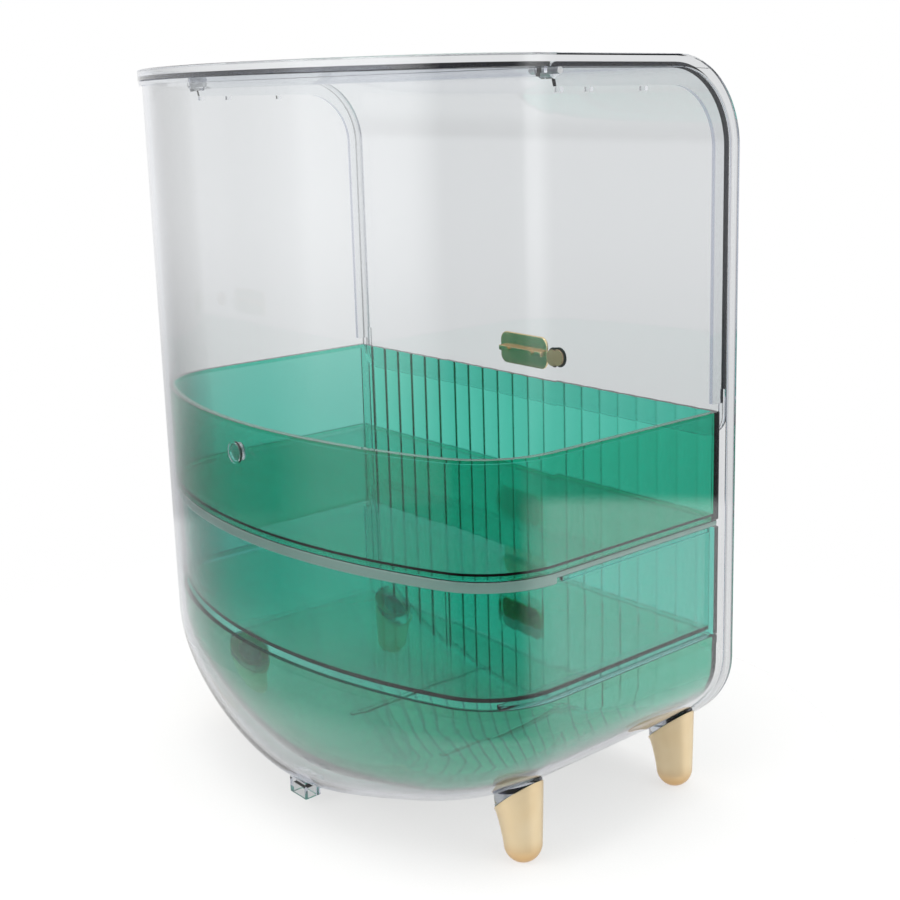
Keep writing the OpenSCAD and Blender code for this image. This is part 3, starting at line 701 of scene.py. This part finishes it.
def makeShell():
    s, e = shellSize, shellExtras
    below = []
    for y in (e["legFrontY"], e["legFrontY"] + e["legSpan"]):
        def oneSocket():
            part = socketAndSpigot()
            part.data.transform(Matrix.Translation((0, y, 0)))
            return part
        below += mirrored(oneSocket)
    heelY = s["backY"] - e["heelBehind"]
    below.append(boxSolid((-e["heelHalf"], heelY, e["heelLow"]),
                          (e["heelHalf"], heelY + e["heelDepth"], e["heelTop"])))
    under = combine(joinAll(below), [midWallPod()], "DIFFERENCE")

    low = underside(e["ribX"] + e["ribWidth"], s["halfWidth"], s["baseZ"], s["roundHeight"]) + s["wall"] / 2
    lift = s["wall"] + e["bowlLift"]
    high = underside(e["ribX"], innerHalf - e["bowlGap"], s["baseZ"] + lift, s["roundHeight"] - lift)
    middle = s["halfWidth"] - s["wall"] / 2
    inside = mirrored(lambda: boxSolid((e["ribX"], e["ribFrontY"], low),
                                       (e["ribX"] + e["ribWidth"], e["ribBackY"], high - e["ribGap"])))
    inside += mirrored(lambda: boxSolid(
        (innerHalf - e["ledgeDepth"], e["ledgeFrontY"], e["shelfZ"] - e["ledgeDepth"]),
        (middle, e["ledgeBackY"], e["shelfZ"])))
    for back in e["nubBack"]:
        inside += mirrored(lambda: boxSolid(
            (innerHalf - e["nubDepth"], e["hingeY"] - back - e["nubHalf"], e["nubZ"]),
            (middle, e["hingeY"] - back + e["nubHalf"], e["nubZ"] + e["ledgeDepth"])))
    inside.append(rodSolid((0, s["backY"] - 1, e["padZ"]),
                           (0, s["backY"] - s["wall"] - e["padHeight"], e["padZ"]), e["padRadius"]))
    inside += mirrored(lambda: rodSolid((middle, e["hingeY"], e["hingeZ"]),
                                        (s["halfWidth"] + s["lipOut"] - 0.05, e["hingeY"], e["hingeZ"]),
                                        e["bossRadius"]))

    ring = wallOutline(1, e["deckLedgeY"], 3, 1) + wallOutline(s["wall"] + 3, e["deckLedgeY"], 3, 1)[::-1]
    inside.append(slabSolid(ring, e["deckLedgeLow"], e["deckLedgeTop"]))

    shell = combine(makeShellWall(), [under, joinAll(inside)], "UNION")
    cuts = mirrored(lambda: rodSolid((innerHalf - 1, e["hingeY"], e["hingeZ"]),
                                     (innerHalf + e["boreDepth"], e["hingeY"], e["hingeZ"]),
                                     e["boreRadius"], steps=24))
    r = e["heelRecess"]
    cuts.append(boxSolid((r - e["heelHalf"], heelY + r, e["heelLow"] - 1),
                         (e["heelHalf"] - r, heelY + e["heelDepth"] - r, s["baseZ"] + 0.5)))
    combine(shell, [joinAll(cuts)], "DIFFERENCE")
    finishPiece(shell, "clearShell", "organizer", "shell", clearPolystyrene)


makeShell()

# ---- fixed clear pieces: rear cover, shelf and rails

fixedSize = dict(
    deckFrontY=112.3, deckLow=365.0, deckTop=367.5, deckEdgeDepth=6.0, deckEdgeThickness=2.5, deckWallGap=0.15,
    shelfFrontY=2.0, shelfLow=146.05, shelfTop=148.95, shelfGap=0.15,
    skirtFrontY=108.5, skirtLow=143.4, skirtThickness=1.6,
    railFrontY=8.5, railLow=89.05, railTop=91.15, railWidth=11.5,
)


def softenEdges(piece, width, angle=50.0, segments=2):
    bevel = piece.modifiers.new("softEdges", "BEVEL")
    bevel.width, bevel.segments = width, segments
    bevel.limit_method, bevel.angle_limit = "ANGLE", math.radians(angle)
    bevel.use_clamp_overlap = True
    return applyModifiers(piece)


def makeRearCover():
    f = fixedSize
    outline = wallOutline(shellSize["wall"] + f["deckWallGap"], f["deckFrontY"], 1.4, 1)
    cover = slabSolid(outline, f["deckLow"], f["deckTop"])
    edge = boxSolid((5 - innerHalf, f["deckFrontY"], f["deckTop"] - f["deckEdgeDepth"]),
                    (innerHalf - 5, f["deckFrontY"] + f["deckEdgeThickness"], f["deckLow"] + 0.5))
    combine(cover, [edge], "UNION")
    softenEdges(cover, 0.4)
    finishPiece(cover, "rearCover", "organizer", "rear_deck", clearPolystyrene)


def makeShelf():
    f = fixedSize
    half = innerHalf - f["shelfGap"]
    shelf = slabSolid(trayOutline(half, f["shelfFrontY"]), f["shelfLow"], f["shelfTop"])
    outer, inner = ([p for p in trayOutline(half - inset, f["shelfFrontY"]) if p[1] > f["skirtFrontY"]]
                    for inset in (0.0, f["skirtThickness"]))
    skirt = slabSolid(outer + inner[::-1], f["skirtLow"], f["shelfTop"] - 1)
    combine(shelf, [skirt], "UNION")
    softenEdges(shelf, 0.7, segments=3)
    finishPiece(shelf, "trayShelf", "organizer", "upper_shelf", clearPolystyrene)
    shelf.data.materials.append(paleSheenEdge)
    # the rim's upright faces take the pale painted sheen
    for face in shelf.data.polygons:
        if abs(face.normal.z) < 0.6 and face.normal.y > -0.5:
            face.material_index = 1


def makeRail(side):
    f, s = fixedSize, shellSize
    reach = s["cornerY"] + s["cornerRadius"] * 0.6
    inner = innerHalf - f["railWidth"]
    wall = [p for p in wallOutline(s["wall"] + 0.05, f["railFrontY"]) if p[0] > inner and p[1] <= reach]
    outline = [(inner, f["railFrontY"])] + wall
    outline.append((inner, wall[-1][1]))
    if side < 0:
        outline = [(-x, y) for x, y in outline]
    rail = slabSolid(outline, f["railLow"], f["railTop"])
    softenEdges(rail, 0.3)
    name, node = ("rightRail", "right_rail") if side > 0 else ("leftRail", "left_rail")
    finishPiece(rail, name, "organizer", node, clearPolystyrene)


makeRearCover()
makeShelf()
makeRail(1)
makeRail(-1)

# ---- fluted fronts, made by one node tree

fluteSize = dict(nominalPitch=13.0, depth=0.7, back=3.6, thin=2.7, pointsPerFlute=12)


def flutedPanelTree():
    tree = bpy.data.node_groups.new("flutedPanel", "GeometryNodeTree")
    for name, kind in (("Half Width", "Float"), ("Low", "Float"), ("High", "Float"), ("Pitch", "Float"),
                       ("Flute Depth", "Float"), ("Front", "Float"), ("Back", "Float"), ("Columns", "Int"),
                       ("Panel Material", "Material")):
        tree.interface.new_socket(name, in_out="INPUT", socket_type="NodeSocket" + kind)
    tree.interface.new_socket("Geometry", in_out="OUTPUT", socket_type="NodeSocketGeometry")
    known = {socket.name: socket for socket in addNode(tree, "NodeGroupInput")}
    place = addNode(tree, "GeometryNodeInputPosition")[0]
    known.update({socket.name: socket for socket in addNode(tree, "ShaderNodeSeparateXYZ", {0: place})})
    for name, operation, first, second in (
        ("width", "MULTIPLY", "Half Width", 2.0),
        ("height", "SUBTRACT", "High", "Low"),
        ("fromLeft", "ADD", "X", "Half Width"),  # where a point lies in its own flute
        ("flutesPassed", "DIVIDE", "fromLeft", "Pitch"),
        ("nudged", "ADD", "flutesPassed", 0.00001),
        ("inFlute", "FRACT", "nudged", 0.0),
        ("offCrest", "SUBTRACT", "inFlute", 0.5),
        ("fromCrest", "MULTIPLY", "offCrest", "Pitch"),
        ("halfPitch", "DIVIDE", "Pitch", 2.0),  # the arc's radius, from the flute's width and depth
        ("halfSquared", "MULTIPLY", "halfPitch", "halfPitch"),
        ("depthSquared", "MULTIPLY", "Flute Depth", "Flute Depth"),
        ("squares", "ADD", "halfSquared", "depthSquared"),
        ("twoDepths", "MULTIPLY", "Flute Depth", 2.0),
        ("radius", "DIVIDE", "squares", "twoDepths"),
        ("radiusSquared", "MULTIPLY", "radius", "radius"),  # how far the arc lies behind its crest there
        ("crestSquared", "MULTIPLY", "fromCrest", "fromCrest"),
        ("difference", "SUBTRACT", "radiusSquared", "crestSquared"),
        ("reach", "SQRT", "difference", 0.0),
        ("drop", "SUBTRACT", "radius", "reach"),
        ("arcY", "ADD", "drop", "Front"),
        ("limitY", "SUBTRACT", "Back", 0.05),
        ("frontY", "MINIMUM", "arcY", "limitY"),
        ("doubleMiddle", "ADD", "High", "Low"),
        ("middle", "MULTIPLY", "doubleMiddle", 0.5),
        ("frontZ", "ADD", "Y", "middle"),
    ):
        known[name] = addNode(tree, "ShaderNodeMath", {"operation": operation, 0: known.get(first, first),
                                                       1: known.get(second, second)})[0]

    sheet = addNode(tree, "GeometryNodeMeshGrid", {"Size X": known["width"], "Size Y": known["height"],
                                                   "Vertices X": known["Columns"], "Vertices Y": 2})["Mesh"]
    upright = addNode(tree, "ShaderNodeCombineXYZ",
                      {"X": known["X"], "Y": known["frontY"], "Z": known["frontZ"]})[0]
    front = addNode(tree, "GeometryNodeSetPosition", {"Geometry": sheet, "Position": upright})[0]
    away = addNode(tree, "ShaderNodeCombineXYZ", {"Y": 1.0})[0]
    thick = addNode(tree, "GeometryNodeExtrudeMesh",
                    {"mode": "FACES", "Individual": False, "Offset Scale": 1.0, "Mesh": front, "Offset": away})
    flatBack = addNode(tree, "ShaderNodeCombineXYZ", {"X": known["X"], "Y": known["Back"], "Z": known["Z"]})[0]
    backed = addNode(tree, "GeometryNodeSetPosition",
                     {"Geometry": thick["Mesh"], "Selection": thick["Top"], "Position": flatBack})[0]
    flipped = addNode(tree, "GeometryNodeFlipFaces", {"Mesh": front})[0]
    both = addNode(tree, "GeometryNodeJoinGeometry", {0: flipped})[0]
    tree.links.new(backed, both.node.inputs[0])
    closed = addNode(tree, "GeometryNodeMergeByDistance", {"Geometry": both, "Distance": 0.001})[0]
    real = addNode(tree, "GeometryNodeRealizeInstances", {"Geometry": closed})[0]
    named = addNode(tree, "GeometryNodeSetMaterial", {"Geometry": real, "Material": known["Panel Material"]})[0]
    addNode(tree, "NodeGroupOutput", {"Geometry": named})
    return tree


panelTree = flutedPanelTree()


def flutedPanel(half, low, high, front=0.0):
    count = round(2 * half / fluteSize["nominalPitch"])
    panel = meshObject("flutedPanel", [], [])
    nodes = panel.modifiers.new("flutes", "NODES")
    nodes.node_group = panelTree
    values = {"Half Width": half, "Low": low, "High": high, "Pitch": 2 * half / count,
              "Flute Depth": fluteSize["depth"], "Front": front,
              "Back": fluteSize["back"] + (0.1 if front else 0.0),
              "Columns": count * fluteSize["pointsPerFlute"] + 1, "Panel Material": greenPolystyrene}
    for item in panelTree.interface.items_tree:
        if item.in_out == "INPUT":
            nodes[item.identifier] = values[item.name]
    panel.update_tag()
    return cleanMesh(applyModifiers(panel))


def innerFlutes(half, inset, low, high):  # what is taken from behind the flutes, to leave an even wall
    grooves = flutedPanel(half, low, high, fluteSize["thin"])
    return combine(grooves, [boxSolid((inset - half, 0, low - 1), (half - inset, 9, high + 1))], "INTERSECT")


# ---- green trays

traySize = dict(
    half=144.5, wall=2.0, floor=2.4, thinFloor=1.5, baseY=2.0, wallY=3.6, edgeSoftness=0.8,
    topLow=149.02, topRim=203.0, foot=1.6, beadHeight=2.0, beadIn=1.3,
    middleHalf=141.5, middleLow=91.5, middleTop=145.2, panelLow=89.4,
    bowlHalf=144.0, bowlLow=12.9, bowlSpring=76.0, bowlTop=88.6, bandHeight=4.0,
    padHalfX=22.0, padHalfZ=11.0, middlePullZ=122.2, bottomPullZ=56.6,
)


def softRim(piece, height):
    bm = bmesh.new()
    bm.from_mesh(piece.data)
    weights = bm.edges.layers.float.get("bevel_weight_edge") or bm.edges.layers.float.new("bevel_weight_edge")
    for edge in bm.edges:
        level = all(abs(v.co.z - height) < 0.01 for v in edge.verts)
        a, b = (v.co for v in edge.verts)
        upright = abs(a.z - b.z) > 5 and (a - b).xy.length < 0.01 and a.y < traySize["baseY"]
        if (level or upright) and len(edge.link_faces) == 2 and edge.calc_face_angle(0) > math.radians(50):
            edge[weights] = 1.0
    bm.to_mesh(piece.data)
    bm.free()
    bevel = piece.modifiers.new("softRim", "BEVEL")
    bevel.width, bevel.segments, bevel.limit_method = traySize["edgeSoftness"], 3, "WEIGHT"
    return applyModifiers(piece)


def pullPad(z):
    t = traySize
    x, high = t["padHalfX"], t["padHalfZ"]
    return boxSolid((-x, 0.02, z - high), (x, t["baseY"] + 1, z + high))


def makeTopTray():
    t = traySize
    floorZ = t["topLow"] + t["foot"] + t["thinFloor"]
    tray = slabSolid(trayOutline(t["half"], t["baseY"] + 0.01), t["topLow"], t["topRim"])
    combine(tray, [flutedPanel(t["half"], t["topLow"], t["topRim"])], "UNION")
    recess = slabSolid(trayOutline(t["half"] - 1.5 * t["wall"], t["wallY"] + 1), t["topLow"] - 1,
                       t["topLow"] + t["foot"])
    beadZ, inHalf = t["topRim"] - t["beadHeight"], t["half"] - t["wall"]
    upper = slabSolid(trayOutline(inHalf - t["beadIn"], t["wallY"]), beadZ - 0.01, t["topRim"] + 1)
    lower = slabSolid(trayOutline(inHalf, t["wallY"]), floorZ, beadZ)
    hollow = combine(lower, [upper], "UNION")
    grooves = innerFlutes(t["half"], t["wall"] + t["beadIn"] + 0.01, floorZ, t["topRim"] + 1)
    combine(tray, [hollow, recess, grooves], "DIFFERENCE")
    softRim(tray, t["topRim"])
    finishPiece(tray, "topTray", "organizer", "top_tray", greenPolystyrene)


def makeMiddleDrawer():
    t = traySize
    tray = slabSolid(trayOutline(t["middleHalf"], t["baseY"] + 0.01), t["middleLow"], t["middleTop"])
    panel = flutedPanel(t["half"], t["panelLow"], t["middleTop"])
    combine(tray, [panel, pullPad(t["middlePullZ"])], "UNION")
    hollow = slabSolid(trayOutline(t["middleHalf"] - t["wall"], t["wallY"]), t["middleLow"] + t["thinFloor"],
                       t["middleTop"] + 1)
    grooves = innerFlutes(t["half"], t["half"] - t["middleHalf"] + t["wall"] + 0.01,
                          t["middleLow"] + t["thinFloor"], t["middleTop"] + 1)
    combine(tray, [hollow, grooves], "DIFFERENCE")
    softRim(tray, t["middleTop"])
    finishPiece(tray, "middleDrawerTray", "middle_drawer", "middle_drawer",
                paleGreenPolystyrene)


def roundFront(half, lowZ, rise, highZ, y0, y1):
    side = [(levelHalf(half, phi), levelZ(lowZ, rise, phi)) for phi in levelAngles]
    shape = [(half, highZ)] + side + [(-x, z) for x, z in side[::-1]] + [(-half, highZ)]
    return solidFromRings([[(x, y, z) for x, z in shape] for y in (y0, y1)])


def makeBottomDrawer():
    t = traySize
    rise = t["bowlSpring"] - t["bowlLow"]
    bowl = podSolid(t["bowlHalf"], shellSize["trayRise"], t["bowlLow"], rise, t["bowlTop"], t["baseY"] + 0.01)
    band = slabSolid(trayOutline(t["half"], t["baseY"] + 0.01), t["bowlTop"] - t["bandHeight"], t["bowlTop"])
    lowerPanel = flutedPanel(t["half"], 0.0, t["bowlTop"] - t["bandHeight"] + 1)
    combine(lowerPanel, [roundFront(t["bowlHalf"], t["bowlLow"], rise, t["bowlTop"] - 0.5, -1, t["wallY"] + 1)],
            "INTERSECT")
    upperPanel = flutedPanel(t["half"], t["bowlTop"] - t["bandHeight"], t["bowlTop"])
    combine(bowl, [band, lowerPanel, upperPanel, pullPad(t["bottomPullZ"])], "UNION")
    hollow = podSolid(t["bowlHalf"] - t["wall"], shellSize["trayRise"], t["bowlLow"] + t["floor"],
                      rise - t["floor"], t["bowlTop"] + 1, t["wallY"])
    grooves = flutedPanel(t["half"], 0.0, t["bowlTop"] + 1, fluteSize["thin"])
    combine(grooves, [roundFront(t["bowlHalf"] - t["wall"] - 0.01, t["bowlLow"] + t["floor"], rise - t["floor"],
                                 t["bowlTop"] + 1, 0.5, 9)], "INTERSECT")
    combine(bowl, [hollow, grooves], "DIFFERENCE")
    softRim(bowl, t["bowlTop"])
    finishPiece(bowl, "bottomDrawerBowl", "bottom_drawer", "bottom_drawer", greenPolystyrene)


makeTopTray()
makeMiddleDrawer()
makeBottomDrawer()

# ---- lid: one bent sheet with side flanges, a bead along its lower edge and two thick hinge ends

lidSize = dict(
    half=144.0, thickness=2.5, inset=3.5, flangeDepth=10.0, flangeLow=207.0, low=189.0,
    cornerRadius=12.0, beadWidth=3.4, beadDepth=1.0, barrel=3.5, barrelLength=7.0, roofEnd=110.2, hingeY=108.0,
)


def lidStations():
    s, d = shellSize, lidSize
    radius = s["frontRadius"] - d["inset"]
    cy, cz = s["rimY"] + s["frontRadius"], s["topZ"] - s["frontRadius"]
    stations = []  # place on the outer face, the way out of it, then half width, flange, bead and bulges

    def add(y, z, out, half=d["half"], flange=d["flangeDepth"], sideBead=0.0, bead=0.0, top=0.0, bottom=None):
        stations.append(((y, z), out, half, flange, sideBead, bead, top, bottom or d["thickness"]))

    faceY = cy - radius
    corner, low = d["cornerRadius"], d["low"]
    heights = [low + corner * (1 - math.cos(math.pi / 2 * i / 10)) for i in range(11)] + [240.0, 280.0, 310.0]
    for edge, blur in ((low + d["beadWidth"], 0.15), (low + 2 * corner, 0.15), (d["flangeLow"], 0.2)):
        heights += [edge - blur, edge + blur]
    for z in sorted(heights):
        up = z - low
        half = d["half"] - corner + math.sqrt(max(0.0, corner ** 2 - max(0.0, corner - up) ** 2))
        add(faceY, z, (-1, 0), half, d["flangeDepth"] if z > d["flangeLow"] else d["thickness"],
            d["beadDepth"] if up < 2 * corner else 0.0, d["beadDepth"] if up < d["beadWidth"] else 0.0)
    for i in range(25):
        t = math.pi / 2 * i / 24
        add(cy - radius * math.cos(t), cz + radius * math.sin(t), (-math.cos(t), math.sin(t)))
    topZ = cz + radius
    startY = d["hingeY"] - d["barrel"]
    for share in (0.2, 0.4, 0.6, 0.8, 0.98):
        add(cy + (startY - cy) * share, topZ, (0, 1))
    for i in range(1, 17):
        t = math.pi * i / 16
        y = d["hingeY"] - d["barrel"] * math.cos(t)
        bulge = d["barrel"] * math.sin(t)
        top = 0.0 if y <= d["hingeY"] else d["barrel"] - bulge
        bottom = max(d["barrel"] + bulge, d["thickness"]) if i < 16 else d["barrel"] + 0.01
        flange = d["flangeDepth"] if y <= d["hingeY"] - 0.5 else bottom
        add(y, topZ, (0, 1), flange=flange, top=top, bottom=bottom)
    return stations


def makeLid():
    d = lidSize
    rings = []
    for (y, z), (outY, outZ), half, flange, sideBead, bead, top, bottom in lidStations():
        edge = min(d["beadWidth"], half)
        section = [(-half, sideBead - top), (edge - half, sideBead - top), (edge - half + 0.2, bead),
                   (half - edge - 0.2, bead), (half - edge, sideBead - top), (half, sideBead - top),
                   (half, -flange), (half - 2, -flange), (half - 2.05, -bottom),
                   (half - d["barrelLength"], -bottom), (half - d["barrelLength"] - 0.5, -d["thickness"]),
                   (0.5 + d["barrelLength"] - half, -d["thickness"]), (d["barrelLength"] - half, -bottom),
                   (2.05 - half, -bottom), (2 - half, -flange), (-half, -flange)]
        rings.append([(x, y + n * outY, z + n * outZ) for x, n in section])
    lid = solidFromRings(rings)
    between = d["half"] - d["barrelLength"] - 0.5
    combine(lid, [boxSolid((-between, d["roofEnd"], 350), (between, 113, 372))], "DIFFERENCE")
    finishPiece(lid, "lidSheet", "lid", "lid", lidPolystyrene)


makeLid()

# ---- gold: legs and pulls

goldSize = dict(
    legSegments=72, tipFlat=0.95, legSoftness=0.35, glueGap=0.15, legFloor=2.6,
    pullWidth=40.0, pullHeight=18.0, pullThickness=1.8, pullReach=3.5,
    plateCorner=5.0, webHeight=3.0, pegRadius=1.4, softness=0.5,
)


def makeLeg(name, node, side, y):
    e, g = shellExtras, goldSize
    around = [2 * math.pi * i / g["legSegments"] for i in range(g["legSegments"])]
    tipZ = e["tipRadius"] * g["tipFlat"]
    length = legTop - e["tipRadius"]
    flare = (e["socketRadius"] - e["tipRadius"]) / length

    def ringAt(x, z, r):
        return [(x + r * math.cos(a), r * math.sin(a), z) for a in around]

    rings = []
    for i in range(13):
        down = math.acos(tipZ / e["tipRadius"]) + (math.pi / 2 - math.acos(tipZ / e["tipRadius"])) * i / 12
        rings.append(ringAt(e["legX"], tipZ - e["tipRadius"] * math.cos(down), e["tipRadius"] * math.sin(down)))
    for i in range(1, 9):  # the rings tilt more and more, up to the slanted joint
        centreX, _, centreZ = legAxisPoint(length * i / 8)
        tilt = math.tan(legSlant) * (i / 8) ** 2
        rings.append([(x, y, z + (x - legAxisX) * tilt)
                      for x, y, z in ringAt(centreX, centreZ, e["tipRadius"] + flare * length * i / 8)])
    top = rings.pop()
    mid = Vector((legAxisX, 0, legTop))

    def inset(amount, lift):
        return [tuple(Vector(p) + (mid - Vector(p)).normalized() * amount + Vector((0, 0, lift))) for p in top]

    soft, bore = g["legSoftness"], e["spigotRadius"] + g["glueGap"]
    wallIn = e["socketRadius"] - bore
    rings += [inset(0, -soft), inset(soft * 0.3, -soft * 0.3), inset(soft, 0), inset(wallIn, 0)]
    floorX, _, floorZ = legAxisPoint(g["legFloor"])
    rings.append(ringAt(floorX, floorZ, bore))
    leg = solidFromRings(rings)
    if side < 0:
        leg.data.transform(Matrix.Diagonal((-1, 1, 1, 1)))
        leg.data.flip_normals()
    leg.data.transform(Matrix.Translation((0, y, 0)))
    finishPiece(leg, name, "organizer", node, legGold, 40)


for name, node, side, y in (
    ("legFrontRight", "front_right_leg", 1, shellExtras["legFrontY"]),
    ("legFrontLeft", "front_left_leg", -1, shellExtras["legFrontY"]),
    ("legRearRight", "rear_right_leg", 1, shellExtras["legFrontY"] + shellExtras["legSpan"]),
    ("legRearLeft", "rear_left_leg", -1, shellExtras["legFrontY"] + shellExtras["legSpan"]),
):
    makeLeg(name, node, side, y)


def makePull(name, node, body, y, z, peg):
    g = goldSize
    r = g["plateCorner"]
    outline = []
    for cx, cz, start in ((1, 1, 0), (-1, 1, 90), (-1, -1, 180), (1, -1, 270)):
        for i in range(9):
            a = math.radians(start + 90 * i / 8)
            outline.append((cx * (g["pullWidth"] / 2 - r) + r * math.cos(a),
                            cz * (g["pullHeight"] / 2 - r) + r * math.sin(a)))
    back, front = y - g["pullReach"], y - g["pullReach"] - g["pullThickness"]
    soft = g["softness"]

    def ring(inset, at):
        return [(px * (1 - inset / (g["pullWidth"] / 2)), at, z + pz * (1 - inset / (g["pullHeight"] / 2)))
                for px, pz in outline]

    plate = solidFromRings([ring(soft, back), ring(soft * 0.3, back - soft * 0.3), ring(0, back - soft),
                            ring(0, front + soft), ring(soft * 0.3, front + soft * 0.3), ring(soft, front)])
    web = boxSolid((2 - g["pullWidth"] / 2, back - 0.4, z - g["webHeight"] / 2),
                   (g["pullWidth"] / 2 - 2, y - 0.03, z + g["webHeight"] / 2))
    softenEdges(web, 0.35)
    pegs = [rodSolid((x, y - 1, z), (x, y + peg - 0.1, z), g["pegRadius"], steps=20)
            for x in (-g["pullWidth"] / 4, g["pullWidth"] / 4)]
    combine(plate, [web, joinAll(pegs)], "UNION")
    finishPiece(plate, name, body, node, pullGold, 35)


makePull("lidPull", "lid_pull", "lid", -4.5, 215.0, 2.5)
makePull("middlePull", "middle_drawer_pull", "middle_drawer", 0.0, traySize["middlePullZ"], 3.5)
makePull("bottomPull", "bottom_drawer_pull", "bottom_drawer", 0.0, traySize["bottomPullZ"], 3.5)
